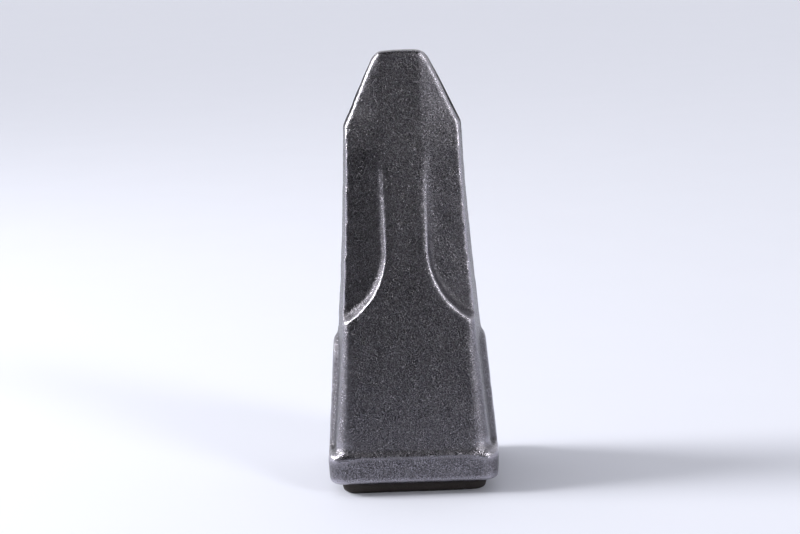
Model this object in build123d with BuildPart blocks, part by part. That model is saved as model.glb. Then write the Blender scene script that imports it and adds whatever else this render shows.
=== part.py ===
from build123d import *
import math
import os

# Excavator bucket tooth: a forged tooth point and the sprung pin that locks it on its adapter.
# Millimetres, +Z up towards the cutting edge, +X along the lock pin, origin at the centre of the mouth.

# Whole tooth
tooth_height = 265.0
parting_land = 2.0  # flat left along the mid plane where the flash is trimmed

# Mouth lip, below the collar
lip_width = 88.0
lip_depth = 82.0
lip_corner = 9.0
lip_edge = 2.6

# Collar around the mouth
collar_bottom = 7.4
collar_top = 26.2
collar_width = 104.0
collar_depth = 94.0
collar_corner = 10.0
collar_draft = 2.0  # degrees, narrower at the bottom
collar_top_edge = 1.0
collar_bottom_edge = 3.2

# Body sections from the collar to the tip:
# height, half width at the mid plane, half width at the faces, half depth, corner radius
foot_section = (20.0, 50.4, 46.9, 46.1, 9.0)
low_section = (100.0, 43.7, 39.6, 34.5, 5.6)
mid_section = (150.0, 39.5, 36.2, 27.0, 3.6)
shoulder_section = (221.0, 35.75, 34.0, 14.3, 2.6)
nose_section = (261.5, 17.0, 16.1, 7.2, 2.2)
tip_section = (tooth_height, 13.7, 12.9, 6.6, 2.2)
tip_edge = 2.2

# Ear pads: a raised tongue on each flank around the pin bore, with a flat face
pad_root_x = 40.0
pad_root_z = 11.0  # the foot of the tongue lies inside the collar
pad_face_x = 51.9  # half width across the two pad faces at the collar
pad_face_angle = 4.4  # degrees, narrower towards the tip
pad_foot_half = 34.0
pad_head_radius = 22.0
pad_head_top = 97.0
pad_flank_angle = 48.0

# Pockets: two on each face, one each side of the spine
pocket_edge_x = 14.5  # floor edge along the spine
pocket_turn_z = 148.5  # the edge turns outwards below this height
pocket_radius = 46.5
pocket_sweep = 72.0
pocket_floor_y = 23.4  # half thickness left at the turn
pocket_rise = 0.116  # floor lean towards the tip, per mm of height
pocket_fall = 0.09  # floor fall towards the side, per mm of width
pocket_wall_angle = 32.0
pocket_root_fillet = 2.5
pocket_clear = 30.0
pocket_reach = 105.0  # past the side of the body

# Tip facets: they carry the pocket floors on to the cutting edge
facet_edge_x = 13.8
facet_height = 90.0

# Socket for the adapter's nose: height, width, depth, corner radius
mouth_cut = (-1.0, 75.1, 64.1, 8.0)
land_cut = (30.0, 73.0, 62.0, 8.0)
neck_cut = (118.0, 50.0, 24.0, 6.0)
roof_cut = (130.0, 49.0, 23.0, 6.0)

# Lock pin across the socket
pin_z = 52.0
pin_radius = 12.0
pin_length = 96.0
pin_chamfer = 2.0
ear_bore_radius = 13.0
ear_bore_length = 110.0

# Sprung catches in the underside of the pin
catch_x = 24.0
catch_bore_radius = 5.0
bore_roof = 4.0  # above the pin's axis
bore_length = 28.0  # from the roof down, out through the underside of the pin
catch_radius = 4.92
catch_cap = 2.0  # height of the domed end
catch_proud = 0.9  # stands out of the pin
catch_length = 8.0
cushion_radius = 4.7

os.makedirs("parts", exist_ok=True)


def wall_section(height, half_width, face_half, half_depth, corner):
    """A face across the body at one height: widest at the mid plane, with its four outer corners rounded."""
    quarter = [(half_width, parting_land / 2), (face_half, half_depth)]
    right = [(x, -y) for x, y in reversed(quarter)] + quarter
    left = [(-x, -y) for x, y in right]
    with BuildSketch(Plane.XY.offset(height)) as section:
        with BuildLine():
            Polyline(*right, *left, close=True)
        make_face()
        fillet(section.vertices().filter_by(lambda v: abs(v.Y) > parting_land), corner)
    return section.sketch


def socket_section(height, width, depth, corner):
    """A rounded rectangle across the socket at one height."""
    with BuildSketch(Plane.XY.offset(height)) as section:
        RectangleRounded(width, depth, corner)
    return section.sketch


# Ear pad: a tongue raised on the flank, under a flat face that leans inwards
pad_lean = Plane(
    origin=(pad_face_x, 0, collar_top),
    x_dir=(0, 1, 0),
    z_dir=(1, 0, math.tan(math.radians(pad_face_angle))),
)
with BuildPart() as ear_pads:
    with BuildSketch(Plane.YZ.offset(pad_root_x)):
        with BuildLine():
            head_centre = pad_head_top - pad_head_radius
            crown = CenterArc((0, head_centre), pad_head_radius, 0, 180)
            Polyline(
                crown @ 1,
                (-pad_foot_half, collar_top),
                (-pad_foot_half, pad_root_z),
                (pad_foot_half, pad_root_z),
                (pad_foot_half, collar_top),
                crown @ 0,
            )
        make_face()
    extrude(amount=collar_width / 2 - pad_root_x, taper=pad_flank_angle)
    split(bisect_by=pad_lean, keep=Keep.BOTTOM)
    mirror(about=Plane.YZ)

# Cutter for the four pockets, with drafted walls and a rounded root
with BuildPart() as pocket_cutter:
    floor_plane = Plane(
        origin=(pocket_edge_x, -pocket_floor_y, pocket_turn_z),
        x_dir=(1, pocket_fall, 0),
        z_dir=(pocket_fall, -1, pocket_rise),
    )
    with BuildSketch(floor_plane):
        with BuildLine():
            side = CenterArc((pocket_radius, 0), pocket_radius, 180, pocket_sweep)
            Polyline(
                side @ 1,
                (pocket_reach, (side @ 1).Y),
                (pocket_reach, tooth_height),
                (0, tooth_height),
                side @ 0,
            )
        make_face()
    extrude(amount=pocket_clear, taper=-pocket_wall_angle)
    floor_face = pocket_cutter.faces().sort_by(Axis(floor_plane.origin, floor_plane.z_dir))[0]
    fillet(floor_face.edges(), pocket_root_fillet)
    mirror(about=Plane.YZ)
    mirror(about=Plane.XZ)

# Cutter for the four tip facets, hinged on the line where each pocket edge runs out
tip_slope = (shoulder_section[3] - nose_section[3]) / (nose_section[0] - shoulder_section[0])
with BuildPart() as facet_cutter:
    facet_plane = Plane(
        origin=(facet_edge_x, -shoulder_section[3], shoulder_section[0]),
        x_dir=(1, pocket_fall, 0),
        z_dir=(pocket_fall, -1, tip_slope),
    )
    with BuildSketch(facet_plane):
        Rectangle(pocket_reach, facet_height, align=(Align.MIN, Align.CENTER))
    extrude(amount=pocket_clear)
    mirror(about=Plane.YZ)
    mirror(about=Plane.XZ)

# Collar around the mouth
with BuildPart() as collar:
    with BuildSketch(Plane.XY.offset(collar_top)):
        RectangleRounded(collar_width, collar_depth, collar_corner)
    extrude(amount=collar_bottom - collar_top, taper=collar_draft)
    fillet(collar.edges().group_by(Axis.Z)[-1], collar_top_edge)
    fillet(collar.edges().group_by(Axis.Z)[0], collar_bottom_edge)

# Lip below the collar
with BuildPart() as lip:
    with BuildSketch(Plane.XY):
        RectangleRounded(lip_width, lip_depth, lip_corner)
    extrude(amount=collar_bottom + collar_bottom_edge)
    fillet(lip.edges().group_by(Axis.Z)[0], lip_edge)

# Tooth point: one forging
with BuildPart() as tooth_point:
    # Body and trapezoid tip
    loft([wall_section(*s) for s in (foot_section, low_section, mid_section, shoulder_section)])
    loft([wall_section(*s) for s in (shoulder_section, nose_section, tip_section)], ruled=True)
    tip_face = tooth_point.faces().sort_by(Axis.Z)[-1]
    fillet(tip_face.edges(), tip_edge)
    add(pocket_cutter.part, mode=Mode.SUBTRACT)
    add(facet_cutter.part, mode=Mode.SUBTRACT)
    add(ear_pads.part)
    add(collar.part)
    add(lip.part)
    # Socket
    socket_cuts = (mouth_cut, land_cut, neck_cut, roof_cut)
    loft([socket_section(*s) for s in socket_cuts], ruled=True, mode=Mode.SUBTRACT)
    # Pin bores through both ears
    with BuildSketch(Plane.YZ):
        with Locations((0, pin_z)):
            Circle(ear_bore_radius)
    extrude(amount=ear_bore_length / 2, both=True, mode=Mode.SUBTRACT)

tooth_point.part.label = "tooth_point"
export_step(tooth_point.part, "parts/tooth_point.step")

# Lock pin: a round bar with two blind bores in its underside
with BuildPart() as lock_pin:
    with BuildSketch(Plane.YZ.offset(-pin_length / 2)):
        with Locations((0, pin_z)):
            Circle(pin_radius)
    extrude(amount=pin_length)
    chamfer(lock_pin.edges().filter_by(GeomType.CIRCLE), pin_chamfer)
    with BuildSketch(Plane.XY.offset(pin_z + bore_roof)):
        with Locations((-catch_x, 0), (catch_x, 0)):
            Circle(catch_bore_radius)
    extrude(amount=-bore_length, mode=Mode.SUBTRACT)

lock_pin.part.label = "lock_pin"
export_step(lock_pin.part, "parts/lock_pin.step")

catch_bottom = pin_z - pin_radius - catch_proud
catch_top = catch_bottom + catch_length


def make_catch(name, centre_x):
    """A round steel catch with a domed lower end."""
    dome_radius = (catch_radius**2 + catch_cap**2) / (2 * catch_cap)
    with BuildPart() as catch:
        with BuildSketch(Plane.XZ):
            with BuildLine():
                rim = (centre_x + catch_radius, catch_bottom + catch_cap)
                dome = RadiusArc((centre_x, catch_bottom), rim, -dome_radius)
                Polyline(dome @ 1, (centre_x + catch_radius, catch_top), (centre_x, catch_top), dome @ 0)
            make_face()
        revolve(axis=Axis((centre_x, 0, 0), (0, 0, 1)))
    catch.part.label = name
    export_step(catch.part, f"parts/{name}.step")


def make_cushion(name, centre_x):
    """The rubber plug between a catch and the roof of its bore."""
    with BuildPart() as cushion:
        with BuildSketch(Plane.XY.offset(catch_top)):
            with Locations((centre_x, 0)):
                Circle(cushion_radius)
        extrude(amount=pin_z + bore_roof - catch_top)
    cushion.part.label = name
    export_step(cushion.part, f"parts/{name}.step")


for side_name, side_x in (("left", -catch_x), ("right", catch_x)):
    make_catch(f"catch_{side_name}", side_x)
    make_cushion(f"cushion_{side_name}", side_x)
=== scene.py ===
import math

import bmesh
import bpy
import numpy as np
from mathutils import Matrix, Vector


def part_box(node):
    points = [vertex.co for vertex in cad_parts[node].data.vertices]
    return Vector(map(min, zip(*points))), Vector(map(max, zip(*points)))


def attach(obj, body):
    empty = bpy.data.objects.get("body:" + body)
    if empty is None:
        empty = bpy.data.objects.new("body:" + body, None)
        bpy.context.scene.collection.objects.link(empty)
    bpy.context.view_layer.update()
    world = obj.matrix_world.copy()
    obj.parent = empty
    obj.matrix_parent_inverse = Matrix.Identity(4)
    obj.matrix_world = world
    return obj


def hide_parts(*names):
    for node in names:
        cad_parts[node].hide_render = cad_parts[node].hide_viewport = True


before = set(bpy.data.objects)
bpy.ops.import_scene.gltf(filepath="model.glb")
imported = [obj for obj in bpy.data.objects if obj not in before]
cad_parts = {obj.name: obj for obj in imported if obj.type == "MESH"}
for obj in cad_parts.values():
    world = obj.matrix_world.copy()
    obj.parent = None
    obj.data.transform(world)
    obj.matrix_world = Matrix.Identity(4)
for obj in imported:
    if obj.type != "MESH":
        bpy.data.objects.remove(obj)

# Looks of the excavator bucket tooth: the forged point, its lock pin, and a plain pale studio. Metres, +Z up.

MM = 0.001

# Camera: a long lens at about a metre, a little above the tip, tilted slightly
CAMERA_DISTANCE = 1.0
CAMERA_HEIGHT = 0.3335
CAMERA_AZIMUTH = math.radians(0.39)
CAMERA_ROLL = math.radians(2.13)
CAMERA_AIM = Vector((-0.0044, 0.0, 0.1320))
CAMERA_LENS = 74.4
SENSOR_WIDTH = 36.0

# Light: azimuth, elevation and spread in degrees, strength
KEY = (-92.0, 32.0, 20.0, 1.40)
KEY_NEAR = (2.0, 21.9)  # distance and power of the nearer part of the key
FILL = (48.0, 24.0, 15.0, 0.92)
TOP = (-100.0, 62.0, 50.0, 0.40)
ROOM_FRONT = 0.07
ROOM_BACK = 0.70
ROOM_CEILING = 0.95  # share of the wall's strength that is left overhead
ROOM_SEEN = 0.9
FLOOR_HALF = 60.0
FLOOR_DARK = (0.786, 0.800, 0.886, 1.0)
FLOOR_LIGHT = (0.800, 0.814, 0.900, 1.0)
FLAG_LEFT, FLAG_RIGHT = -0.70, 0.35  # black card in front and overhead, seen only in reflections
FLAG_NEAR, FLAG_FRONT, FLAG_BACK, FLAG_TOP = -0.17, -0.60, 0.70, 0.95
FLAG_LIFT = 2 * MM  # above the floor

# Landmarks of the forging that shape its surface
LIP_TOP = 7.4 * MM
COLLAR_TOP = 26.2 * MM
SEAM_HALF = 0.9 * MM
TRIM_X = -29.0 * MM
TIP_FACE_X = 11.5 * MM
TIP_FALL = 0.20
TIP_CROWN = 0.6 * MM
TIP_HALF = 14.0 * MM
TIP_FALL_FROM, TIP_FALL_TO = 205 * MM, 240 * MM  # heights between which the fall sets in
TIP_CROWN_FROM, TIP_TOP = 250 * MM, 265 * MM
# Painted shade: near-black with a slight brown tint, for the lip in the shade under the collar
LIP_PAINTED_SHADE = (0.064, 0.056, 0.052, 1.0)

# Bands in which the surface is softened: a fade from the first value to the second
SPINE_RISE, SPINE_END = (145 * MM, 175 * MM), (232 * MM, 218 * MM)
SPINE_INNER, SPINE_OUTER = (8 * MM, 11 * MM), (22 * MM, 19 * MM)
PAD_FOOT, PAD_HEAD, PAD_SIDE = (30 * MM, 34 * MM), (110 * MM, 104 * MM), (40 * MM, 42.5 * MM)
FOOT_LOW, FOOT_HIGH = (20.5 * MM, 23.5 * MM), (35 * MM, 31 * MM)
FOOT_SIDE, FOOT_FACE = (33 * MM, 39 * MM), (28 * MM, 36 * MM)
SEAM_END = (222 * MM, 208 * MM)
LINE_ROUNDS = 5
FOOT_ROUNDS = 14
# Painted highlight: how much the colour of the four foot corners is lightened
FOOT_PAINTED_HIGHLIGHT = 0.5

# Waves in the forged surface: height in mm, width, seed
WAVES = ((0.16, 24 * MM, 3), (0.09, 9 * MM, 5), (0.05, 4.2 * MM, 7))
DENT_WIDTH = 11 * MM
SEAM_WAVE = 6 * MM

# Surface mesh of the forging
FORGING_VOXEL = 1.1 * MM
PIN_VOXEL = 0.55 * MM

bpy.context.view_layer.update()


# ---------------------------------------------------------------- noise


def lattice(cells, seed):
    """One repeatable pseudo-random number from 0 to 1 for each integer lattice cell."""
    mixed = cells[..., 0] * 374761393 + cells[..., 1] * 668265263 + cells[..., 2] * 2147483647 + seed * 144665
    mixed = (mixed ^ (mixed >> 13)) * 1274126177
    mixed = mixed ^ (mixed >> 16)
    return (mixed & 0xFFFFFF) / float(0xFFFFFF)


def value_noise(points, feature, seed):
    """Smooth noise from -1 to 1 at each point, with features about that many metres across."""
    scaled = points / feature
    base = np.floor(scaled).astype(np.int64)
    part = scaled - base
    part = part * part * part * (part * (part * 6 - 15) + 10)
    total = np.zeros(len(points))
    for corner in np.ndindex(2, 2, 2):
        offset = np.array(corner)
        weight = np.prod(np.where(offset, part, 1 - part), axis=1)
        total += weight * lattice(base + offset, seed)
    return total * 2 - 1


# ---------------------------------------------------------------- mesh helpers


def new_object(name, mesh):
    made = bpy.data.objects.new(name, mesh)
    bpy.context.scene.collection.objects.link(made)
    return made


def copy_of_node(node, name):
    """A free copy of a CAD node's mesh, with its seams welded so that it is one closed skin."""
    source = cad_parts[node]
    mesh = source.data.copy()
    work = bmesh.new()
    work.from_mesh(mesh)
    bmesh.ops.remove_doubles(work, verts=work.verts, dist=0.002 * MM)
    work.to_mesh(mesh)
    work.free()
    mesh.materials.clear()
    return new_object(name, mesh)


def apply_modifiers(obj):
    graph = bpy.context.evaluated_depsgraph_get()
    baked = bpy.data.meshes.new_from_object(obj.evaluated_get(graph))
    obj.modifiers.clear()
    old = obj.data
    obj.data = baked
    bpy.data.meshes.remove(old)


def remesh(obj, voxel, smooth_rounds):
    """Turns the skin into an even grid of quads and softens its creases as a forging die does."""
    grid = obj.modifiers.new("grid", "REMESH")
    grid.mode = "VOXEL"
    grid.voxel_size = voxel
    grid.adaptivity = 0.0
    soften = obj.modifiers.new("soften", "SMOOTH")
    soften.factor = 0.5
    soften.iterations = smooth_rounds
    apply_modifiers(obj)


def coordinates(mesh):
    co = np.zeros(len(mesh.vertices) * 3)
    mesh.vertices.foreach_get("co", co)
    return co.reshape(-1, 3)


def normals(mesh):
    no = np.zeros(len(mesh.vertices) * 3)
    mesh.vertices.foreach_get("normal", no)
    return no.reshape(-1, 3)


def set_coordinates(mesh, co):
    mesh.vertices.foreach_set("co", co.ravel())
    mesh.update()


def neighbour_mean(mesh, values, rounds):
    """Averages a value over each vertex's neighbours, several times."""
    edges = np.zeros(len(mesh.edges) * 2, dtype=np.int64)
    mesh.edges.foreach_get("vertices", edges)
    a, b = edges.reshape(-1, 2).T
    count = np.bincount(a, minlength=len(values)) + np.bincount(b, minlength=len(values))
    for _ in range(rounds):
        total = np.bincount(a, values[b], minlength=len(values))
        total = total + np.bincount(b, values[a], minlength=len(values))
        values = 0.5 * values + 0.5 * total / np.maximum(count, 1)
    return values


def convexity(mesh, rounds):
    """How far each vertex stands out of its neighbours' mean: positive on edges, negative in creases."""
    co = coordinates(mesh)
    no = normals(mesh)
    mean = np.stack([neighbour_mean(mesh, co[:, k], rounds) for k in range(3)], axis=1)
    return np.einsum("ij,ij->i", co - mean, no)


def store(mesh, name, values):
    layer = mesh.attributes.new(name, "FLOAT", "POINT")
    layer.data.foreach_set("value", values.astype(np.float32))


def shade_smooth(mesh):
    mesh.polygons.foreach_set("use_smooth", np.ones(len(mesh.polygons), dtype=bool))
    mesh.update()


# ---------------------------------------------------------------- node helpers


class Nodes:
    """A short way to write a material's node tree."""

    def __init__(self, name):
        self.material = bpy.data.materials.new(name)
        self.material.use_nodes = True
        self.tree = self.material.node_tree
        self.shader = self.tree.nodes["Principled BSDF"]
        self.place = self.tree.nodes.new("ShaderNodeTexCoord").outputs["Object"]

    def add(self, kind, **inputs):
        node = self.tree.nodes.new(kind)
        for key, value in inputs.items():
            self.feed(node.inputs[key.replace("_", " ")], value)
        return node

    def feed(self, socket, value):
        if isinstance(value, bpy.types.NodeSocket):
            self.tree.links.new(value, socket)
        else:
            socket.default_value = value

    def noise(self, scale, detail=2.0, roughness=0.5, distortion=0.0):
        made = self.add("ShaderNodeTexNoise", Vector=self.place, Scale=scale, Detail=detail)
        made.inputs["Roughness"].default_value = roughness
        made.inputs["Distortion"].default_value = distortion
        return made.outputs["Fac"]

    def attribute(self, name):
        made = self.tree.nodes.new("ShaderNodeAttribute")
        made.attribute_name = name
        return made.outputs["Fac"]

    def remap(self, value, low, high, to_low=0.0, to_high=1.0):
        made = self.tree.nodes.new("ShaderNodeMapRange")
        self.feed(made.inputs["Value"], value)
        made.inputs["From Min"].default_value = low
        made.inputs["From Max"].default_value = high
        made.inputs["To Min"].default_value = to_low
        made.inputs["To Max"].default_value = to_high
        return made.outputs["Result"]

    def maths(self, operation, a, b=0.0):
        made = self.tree.nodes.new("ShaderNodeMath")
        made.operation = operation
        self.feed(made.inputs[0], a)
        self.feed(made.inputs[1], b)
        return made.outputs["Value"]

    def mix(self, share, a, b):
        made = self.tree.nodes.new("ShaderNodeMix")
        made.data_type = "RGBA"
        self.feed(made.inputs[0], share)
        self.feed(made.inputs[6], a)
        self.feed(made.inputs[7], b)
        return made.outputs[2]

    def bump(self, height, distance, strength=1.0, normal=None):
        made = self.add("ShaderNodeBump", Height=height, Strength=strength)
        made.inputs["Distance"].default_value = distance
        if normal is not None:
            self.feed(made.inputs["Normal"], normal)
        return made.outputs["Normal"]


def grey(value, warm=0.0):
    """A near-neutral linear colour; warm above 0 leans it towards brown, below 0 towards blue."""
    return (value * (1 + warm), value, value * (1 - warm), 1.0)


def tone(value):
    """The coat's colour at one brightness: dark grey, a little violet."""
    return (value * 1.01, value * 0.97, value * 1.08, 1.0)


# ---------------------------------------------------------------- materials


def forged_steel():
    """Shot-blasted forging with a thin dark satin coat, grainy, brighter where edges have rubbed; painted shade
    darkens its creases and turns the lip under the collar near-black, and a painted highlight lightens the foot
    corners.
    """
    n = Nodes("forged_steel")
    grain = n.noise(1150.0, detail=3.0, roughness=0.65)
    fine = n.noise(2300.0, detail=2.0, roughness=0.5)
    mottle = n.noise(150.0, detail=4.0, roughness=0.6)
    broad = n.noise(22.0, detail=3.0)
    rub_and_painted_light = n.attribute("rub_and_painted_light")
    base = n.mix(n.remap(grain, 0.40, 0.62), tone(0.034), tone(0.24))
    base = n.mix(n.remap(mottle, 0.35, 0.65, 0.0, 0.40), base, tone(0.085))
    base = n.mix(n.remap(broad, 0.35, 0.70, 0.0, 0.25), base, tone(0.165))
    flecks = n.remap(fine, 0.56, 0.64)
    base = n.mix(n.maths("MULTIPLY", flecks, 0.6), base, tone(0.62))
    base = n.mix(n.remap(rub_and_painted_light, 0.12, 0.8, 0.0, 0.75), base, tone(0.54))
    # Painted shade: darker in the creases
    base = n.mix(n.remap(rub_and_painted_light, -0.2, -0.9, 0.0, 0.6), base, tone(0.040))
    # Painted shade: the lip under the collar turns near-black
    base = n.mix(n.attribute("under"), base, LIP_PAINTED_SHADE)
    n.feed(n.shader.inputs["Base Color"], base)
    n.shader.inputs["Metallic"].default_value = 0.96
    rough = n.remap(grain, 0.35, 0.65, 0.36, 0.23)
    rough = n.maths("ADD", rough, n.remap(mottle, 0.3, 0.7, -0.04, 0.06))
    rough = n.maths("SUBTRACT", rough, n.remap(rub_and_painted_light, 0.1, 0.8, 0.0, 0.08))
    rough = n.maths("ADD", rough, n.maths("MULTIPLY", n.attribute("under"), 0.35))
    n.feed(n.shader.inputs["Roughness"], rough)
    flat = n.remap(rub_and_painted_light, 0.1, 0.8, 1.0, 0.55)
    skin = n.bump(grain, 0.31 * MM, flat)
    skin = n.bump(fine, 0.09 * MM, flat, skin)
    skin = n.bump(mottle, 0.8 * MM, 0.4, skin)
    n.feed(n.shader.inputs["Normal"], skin)
    return n.material


def turned_steel():
    """Darkened turned bar: fine lathe lines around the pin's axis, with handling marks."""
    n = Nodes("pin_steel")
    stretch = n.add("ShaderNodeMapping", Vector=n.place, Scale=(1.0, 0.02, 0.02))
    lathe = n.add("ShaderNodeTexNoise", Vector=stretch.outputs["Vector"], Scale=2600.0, Detail=2.0)
    lines = lathe.outputs["Fac"]
    stain = n.noise(60.0, detail=5.0, roughness=0.65)
    pits = n.noise(900.0, detail=2.0)
    rub_and_painted_light = n.attribute("rub_and_painted_light")
    base = n.mix(n.remap(stain, 0.35, 0.65), grey(0.20, 0.03), grey(0.34, 0.02))
    base = n.mix(n.remap(lines, 0.3, 0.7, 0.0, 0.35), base, grey(0.16, 0.04))
    base = n.mix(n.remap(rub_and_painted_light, 0.2, 0.9, 0.0, 0.7), base, grey(0.55, 0.01))
    n.feed(n.shader.inputs["Base Color"], base)
    n.shader.inputs["Metallic"].default_value = 1.0
    n.feed(n.shader.inputs["Roughness"], n.remap(stain, 0.3, 0.7, 0.30, 0.46))
    skin = n.bump(lines, 0.04 * MM, 0.7)
    n.feed(n.shader.inputs["Normal"], n.bump(pits, 0.05 * MM, 0.4, skin))
    return n.material


def ground_steel():
    """Ground and hardened catch: bright, with fine circular scratches."""
    n = Nodes("catch_steel")
    scratch = n.noise(1800.0, detail=4.0, roughness=0.7)
    base = n.mix(n.remap(scratch, 0.35, 0.65), grey(0.42, 0.02), grey(0.60, 0.01))
    n.feed(n.shader.inputs["Base Color"], base)
    n.shader.inputs["Metallic"].default_value = 1.0
    n.feed(n.shader.inputs["Roughness"], n.remap(scratch, 0.3, 0.7, 0.20, 0.34))
    n.feed(n.shader.inputs["Normal"], n.bump(scratch, 0.02 * MM, 0.5))
    return n.material


def moulded_rubber():
    """Matt black rubber with a fine moulded skin."""
    n = Nodes("cushion_rubber")
    skin = n.noise(1500.0, detail=3.0)
    n.feed(n.shader.inputs["Base Color"], n.mix(n.remap(skin, 0.3, 0.7), grey(0.016), grey(0.032)))
    n.feed(n.shader.inputs["Roughness"], n.remap(skin, 0.3, 0.7, 0.62, 0.78))
    n.feed(n.shader.inputs["Normal"], n.bump(skin, 0.05 * MM, 0.5))
    return n.material


def studio_floor():
    """Plain pale sweep, faintly cool."""
    n = Nodes("studio_floor")
    weave = n.noise(9.0, detail=2.0)
    n.feed(n.shader.inputs["Base Color"], n.mix(weave, FLOOR_DARK, FLOOR_LIGHT))
    n.shader.inputs["Roughness"].default_value = 0.9
    n.shader.inputs["Specular IOR Level"].default_value = 0.2
    return n.material


# ---------------------------------------------------------------- pieces


def rub_and_shade_from(mesh, reach):
    """How far each vertex stands out, from -1 in creases to 1 on proud edges: proud edges are brightened as rubbed
    wear, and on the forging the creases are darkened as painted shade.
    """
    shape = convexity(mesh, reach)
    limit = np.percentile(np.abs(shape), 98.5)
    return np.clip(neighbour_mean(mesh, shape / limit, 2), -1, 1)


def smooth_step(start, end, values):
    part = np.clip((values - start) / (end - start), 0, 1)
    return part * part * (3 - 2 * part)


def shape_tip(co):
    """Rounds the tip's face off towards its two sides and crowns its cutting edge."""
    x, y, z = co.T
    side = np.maximum(np.abs(x) - TIP_FACE_X, 0)
    y = y - np.sign(y) * side * TIP_FALL * smooth_step(TIP_FALL_FROM, TIP_FALL_TO, z)
    z = z - TIP_CROWN * (x / TIP_HALF) ** 2 * smooth_step(TIP_CROWN_FROM, TIP_TOP, z)
    return np.stack([x, y, z], axis=1)


def soften(mesh, share, rounds):
    """Smooths the mesh where share is 1 and leaves it alone where share is 0."""
    co = coordinates(mesh)
    mean = np.stack([neighbour_mean(mesh, co[:, k], rounds) for k in range(3)], axis=1)
    set_coordinates(mesh, co + (mean - co) * share[:, None])


def soft_lines(co):
    """The upper half of the spine's edges and the hollows around the ear pads."""
    x, z = np.abs(co[:, 0]), co[:, 2]
    spine = smooth_step(*SPINE_RISE, z) * smooth_step(*SPINE_END, z)
    spine *= smooth_step(*SPINE_INNER, x) * smooth_step(*SPINE_OUTER, x)
    pads = smooth_step(*PAD_FOOT, z) * smooth_step(*PAD_HEAD, z) * smooth_step(*PAD_SIDE, x)
    return np.clip(spine + pads, 0, 1)


def foot_corners(co):
    """The four corners where the body runs down on to the collar."""
    x, y, z = np.abs(co[:, 0]), np.abs(co[:, 1]), co[:, 2]
    level = smooth_step(*FOOT_LOW, z) * smooth_step(*FOOT_HIGH, z)
    return level * smooth_step(*FOOT_SIDE, x) * smooth_step(*FOOT_FACE, y)


def forged_skin(co, no):
    """Height of the forged surface in mm: waves, dents, the trimmed flash seam and a shallow trim mark."""
    x, y, z = co.T
    waves = sum(height * value_noise(co, width, seed) for height, width, seed in WAVES)
    dents = -0.22 * smooth_step(0.45, 0.75, value_noise(co, DENT_WIDTH, 11))
    seam = 0.30 * smooth_step(SEAM_HALF, 0.4 * SEAM_HALF, np.abs(y)) * smooth_step(0.6, 0.9, np.abs(no[:, 0]))
    seam *= smooth_step(*SEAM_END, z) * (0.7 + 0.3 * value_noise(co, SEAM_WAVE, 13))
    on_collar = smooth_step(LIP_TOP, LIP_TOP + 2 * MM, z) * smooth_step(COLLAR_TOP + MM, COLLAR_TOP, z)
    trim = -0.30 * smooth_step(0.7 * MM, 0.2 * MM, np.abs(x - TRIM_X)) * smooth_step(-0.6, -0.9, no[:, 1])
    return waves + dents + seam + trim * on_collar


def make_forging():
    obj = copy_of_node("tooth_point", "tooth_forging")
    remesh(obj, FORGING_VOXEL, 5)
    mesh = obj.data
    soften(mesh, soft_lines(coordinates(mesh)), LINE_ROUNDS)
    soften(mesh, foot_corners(coordinates(mesh)), FOOT_ROUNDS)
    co = coordinates(mesh)
    # Rubbed edges, painted shade in the creases and a painted highlight on the four foot corners
    store(mesh, "rub_and_painted_light", np.clip(rub_and_shade_from(mesh, 6) + FOOT_PAINTED_HIGHLIGHT * foot_corners(co), -1, 1))
    # Mask of the lip below the collar, where painted shade darkens the colour and the finish is rougher
    store(mesh, "under", smooth_step(LIP_TOP + 0.5 * MM, LIP_TOP - 1.5 * MM, co[:, 2]))
    co = shape_tip(co)
    skin = forged_skin(co, normals(mesh))
    low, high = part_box("tooth_point")
    set_coordinates(mesh, np.clip(co + normals(mesh) * (skin * MM)[:, None], low, high))
    shade_smooth(mesh)
    mesh.materials.append(forged_steel())
    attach(obj, "point")
    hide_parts("tooth_point")
    return obj


def make_pin():
    obj = copy_of_node("lock_pin", "lock_pin_bar")
    remesh(obj, PIN_VOXEL, 2)
    mesh = obj.data
    store(mesh, "rub_and_painted_light", rub_and_shade_from(mesh, 4))
    shade_smooth(mesh)
    mesh.materials.append(turned_steel())
    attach(obj, "pin")
    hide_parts("lock_pin")
    return obj


def revolve_profile(name, profile, centre, segments=64):
    """A closed skin turned from (radius, height) points about a vertical axis. The first and last radius are 0."""
    rings = np.array(profile)[1:-1]
    angles = np.arange(segments) * (2 * math.pi / segments)
    points = [(0.0, 0.0, profile[0][1])]
    points += [(r * math.cos(a), r * math.sin(a), h) for r, h in rings for a in angles]
    points.append((0.0, 0.0, profile[-1][1]))
    last = len(points) - 1
    faces = []
    for k in range(segments):
        after = (k + 1) % segments
        faces.append((0, 1 + after, 1 + k))
        for ring in range(len(rings) - 1):
            low, high = 1 + ring * segments, 1 + (ring + 1) * segments
            faces.append((low + k, low + after, high + after, high + k))
        top = 1 + (len(rings) - 1) * segments
        faces.append((last, top + k, top + after))
    mesh = bpy.data.meshes.new(name)
    mesh.from_pydata([tuple(Vector(p) + Vector(centre)) for p in points], [], faces)
    shade_smooth(mesh)
    return new_object(name, mesh)


def node_frame(node):
    """Centre line, bottom, top and radius of a round upright CAD node."""
    low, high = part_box(node)
    centre = ((low.x + high.x) / 2, (low.y + high.y) / 2, 0.0)
    return centre, low.z, high.z, (high.x - low.x) / 2


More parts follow.
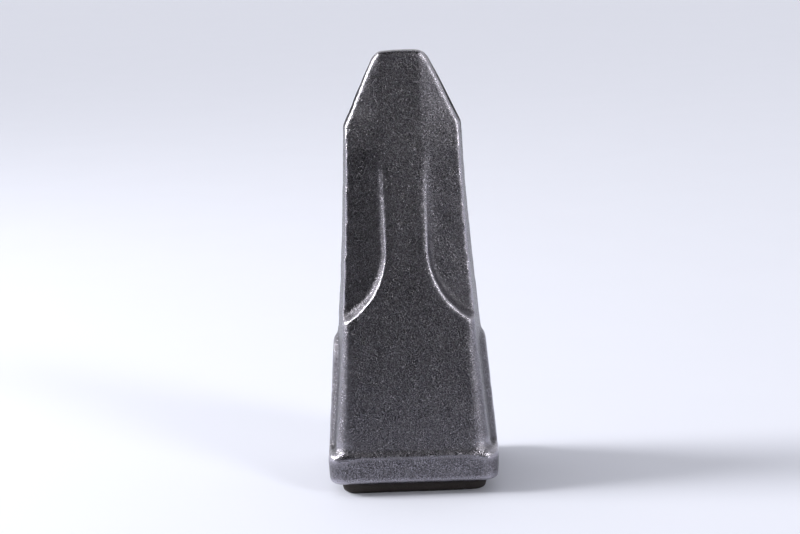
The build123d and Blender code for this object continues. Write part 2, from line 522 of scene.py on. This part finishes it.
def make_catch(side):
    centre, bottom, top, radius = node_frame(f"catch_{side}")
    cap = 2.0 * MM
    sphere = (radius**2 + cap**2) / (2 * cap)
    limit = math.asin(radius / sphere)
    turns = limit * np.linspace(0, 1, 14)
    dome = [(sphere * math.sin(turn), bottom + sphere * (1 - math.cos(turn))) for turn in turns]
    bevel = 0.35 * MM
    body = [(radius, bottom + cap + bevel), (radius, top - bevel), (radius - bevel, top), (0.0, top)]
    obj = revolve_profile(f"catch_{side}_dome", dome + body, centre)
    obj.data.materials.append(ground_steel())
    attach(obj, f"{side}_catch")
    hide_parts(f"catch_{side}")
    return obj


def make_cushion(side):
    centre, bottom, top, radius = node_frame(f"cushion_{side}")
    height = top - bottom
    waist = 0.25 * MM
    levels = np.linspace(0, 1, 17)
    wall = [(radius - waist * (2 * t - 1) ** 2, bottom + height * t) for t in levels]
    obj = revolve_profile(f"cushion_{side}_plug", [(0.0, bottom)] + wall + [(0.0, top)], centre)
    obj.data.materials.append(moulded_rubber())
    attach(obj, "pin")
    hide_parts(f"cushion_{side}")
    return obj


# ---------------------------------------------------------------- studio


def make_floor():
    mesh = bpy.data.meshes.new("floor")
    corners = [(-1, -1), (1, -1), (1, 1), (-1, 1)]
    mesh.from_pydata([(x * FLOOR_HALF, y * FLOOR_HALF, 0) for x, y in corners], [], [(0, 1, 2, 3)])
    mesh.materials.append(studio_floor())
    new_object("floor", mesh)


def hang_lamp(name, kind, azimuth, elevation, distance):
    """Azimuth 0 is behind the camera and 90 is at its right. The lamp faces the foot of the object."""
    data = bpy.data.lights.new(name, kind)
    lamp = bpy.data.objects.new(name, data)
    bpy.context.scene.collection.objects.link(lamp)
    turn, lift = math.radians(azimuth), math.radians(elevation)
    towards = Vector((math.sin(turn) * math.cos(lift), -math.cos(turn) * math.cos(lift), math.sin(lift)))
    lamp.location = towards * distance
    lamp.rotation_mode = "QUATERNION"
    lamp.rotation_quaternion = towards.to_track_quat("Z", "Y")
    return data


def soft_light(name, azimuth, elevation, spread, strength):
    """A distant softbox that fills an angle of spread degrees."""
    data = hang_lamp(name, "SUN", azimuth, elevation, 2.0)
    data.energy = strength
    data.angle = math.radians(spread)


def near_light(name, azimuth, elevation, spread, distance, power):
    """A softbox close by, so that its light falls off across the floor."""
    data = hang_lamp(name, "AREA", azimuth, elevation, distance)
    data.shape = "DISK"
    data.size = 2 * distance * math.tan(math.radians(spread / 2))
    data.energy = power


def make_flag():
    """A black card under, in front of and over the object, which only its reflections see."""
    mesh = bpy.data.meshes.new("black_flag")
    profile = [(FLAG_NEAR, FLAG_LIFT), (FLAG_FRONT, FLAG_LIFT)]
    profile += [(FLAG_FRONT, FLAG_TOP), (FLAG_BACK, FLAG_TOP)]
    points = [(x, y, z) for y, z in profile for x in (FLAG_LEFT, FLAG_RIGHT)]
    mesh.from_pydata(points, [], [(0, 1, 3, 2), (2, 3, 5, 4), (4, 5, 7, 6)])
    n = Nodes("black_card")
    n.shader.inputs["Base Color"].default_value = (0.0, 0.0, 0.0, 1.0)
    n.shader.inputs["Specular IOR Level"].default_value = 0.0
    mesh.materials.append(n.material)
    flag = new_object("black_flag", mesh)
    flag.visible_camera = False
    flag.visible_diffuse = False
    flag.visible_shadow = False


def ramp(tree, value, start, end, first, last):
    """A smooth fade of a value from first to last."""
    made = tree.nodes.new("ShaderNodeMapRange")
    made.interpolation_type = "SMOOTHSTEP"
    made.inputs["From Min"].default_value = start
    made.inputs["From Max"].default_value = end
    made.inputs["To Min"].default_value = first
    made.inputs["To Max"].default_value = last
    tree.links.new(value, made.inputs["Value"])
    return made.outputs["Result"]


def make_room():
    """The dim room: darker overhead and in front, where the camera stands, and pale where it is seen directly."""
    world = bpy.data.worlds.new("room")
    bpy.context.scene.world = world
    world.use_nodes = True
    tree = world.node_tree
    background = tree.nodes["Background"]
    place = tree.nodes.new("ShaderNodeTexCoord")
    split = tree.nodes.new("ShaderNodeSeparateXYZ")
    tree.links.new(place.outputs["Generated"], split.inputs["Vector"])
    walls = ramp(tree, split.outputs["Y"], -0.9, 0.5, ROOM_FRONT, ROOM_BACK)
    overhead = ramp(tree, split.outputs["Z"], 0.10, 0.45, 1.0, ROOM_CEILING)
    both = tree.nodes.new("ShaderNodeMath")
    both.operation = "MULTIPLY"
    tree.links.new(walls, both.inputs[0])
    tree.links.new(overhead, both.inputs[1])
    seen = tree.nodes.new("ShaderNodeLightPath")
    shown = tree.nodes.new("ShaderNodeMix")
    tree.links.new(seen.outputs["Is Camera Ray"], shown.inputs[0])
    tree.links.new(both.outputs["Value"], shown.inputs[2])
    shown.inputs[3].default_value = ROOM_SEEN
    tree.links.new(shown.outputs[0], background.inputs["Strength"])
    background.inputs["Color"].default_value = (0.95, 0.96, 1.0, 1.0)


def make_light():
    make_room()
    soft_light("key_left", *KEY)
    near_light("key_near", *KEY[:3], *KEY_NEAR)
    soft_light("fill_right", *FILL)
    soft_light("top_left", *TOP)
    make_flag()
    view = bpy.context.scene.view_settings
    view.view_transform = "Standard"
    view.look = "None"


def make_camera():
    data = bpy.data.cameras.new("camera")
    data.lens = CAMERA_LENS
    data.sensor_width = SENSOR_WIDTH
    data.clip_start, data.clip_end = 0.05, 30.0
    camera = bpy.data.objects.new("camera", data)
    bpy.context.scene.collection.objects.link(camera)
    place = Vector(
        (CAMERA_DISTANCE * math.sin(CAMERA_AZIMUTH), -CAMERA_DISTANCE * math.cos(CAMERA_AZIMUTH), CAMERA_HEIGHT)
    )
    turn = (CAMERA_AIM - place).to_track_quat("-Z", "Y").to_matrix().to_4x4()
    camera.matrix_world = Matrix.Translation(place) @ turn @ Matrix.Rotation(-CAMERA_ROLL, 4, "Z")
    bpy.context.scene.camera = camera


make_camera()
make_floor()
make_light()
make_forging()
make_pin()
for side in ("left", "right"):
    make_catch(side)
    make_cushion(side)
